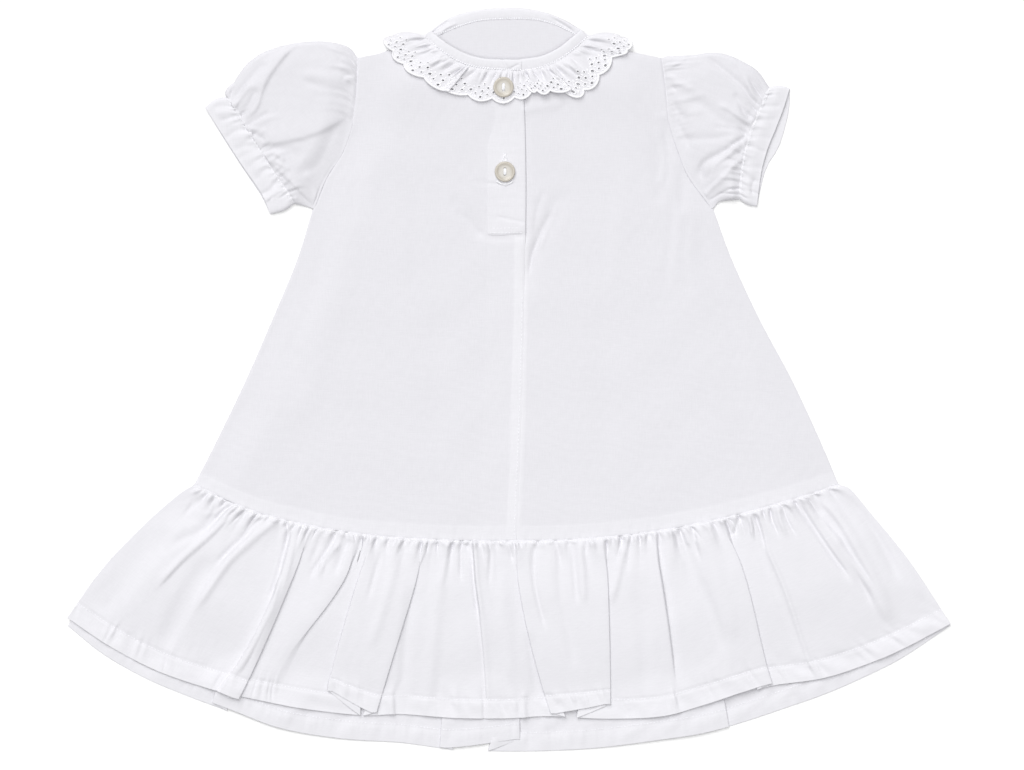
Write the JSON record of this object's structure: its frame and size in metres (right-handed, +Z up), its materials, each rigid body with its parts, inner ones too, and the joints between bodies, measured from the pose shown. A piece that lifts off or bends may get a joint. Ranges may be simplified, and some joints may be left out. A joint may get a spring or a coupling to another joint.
{
  "type": "toddler dress",
  "caption": "Toddler's white cotton dress with puffed sleeves, a ruffled lace collar, a buttoned half placket and a gathered hem ruffle, laid flat on its back.",
  "frame": {"origin": "on the surface that the dress lies on, below the middle of its outline", "axes": "+X across the dress to the right of someone who looks down at its front with the neck at the top, +Y from the hem to the neck, +Z up from the surface through the cloth"},
  "size_m": [0.548, 0.4612, 0.0093],
  "materials": {
    "cloth": "matt, fine plain weave",
    "lace": "matt, eyelet edging",
    "button": "pearly gloss"
  },
  "bodies": {
    "root": {"back_panel": "cloth", "front_left": "cloth", "front_right": "cloth", "placket": "cloth", "neckband_left": "cloth", "neckband_right": "cloth", "neckband_back": "cloth", "collar_ruffle_left": "lace", "collar_ruffle_right": "lace", "collar_ruffle_back": "lace", "sleeve_left": "cloth", "sleeve_right": "cloth", "cuff_left": "cloth", "cuff_right": "cloth", "hem_ruffle_front": "cloth", "hem_ruffle_back": "cloth", "button_top": "button", "button_lower": "button"}
  },
  "joints": []
}
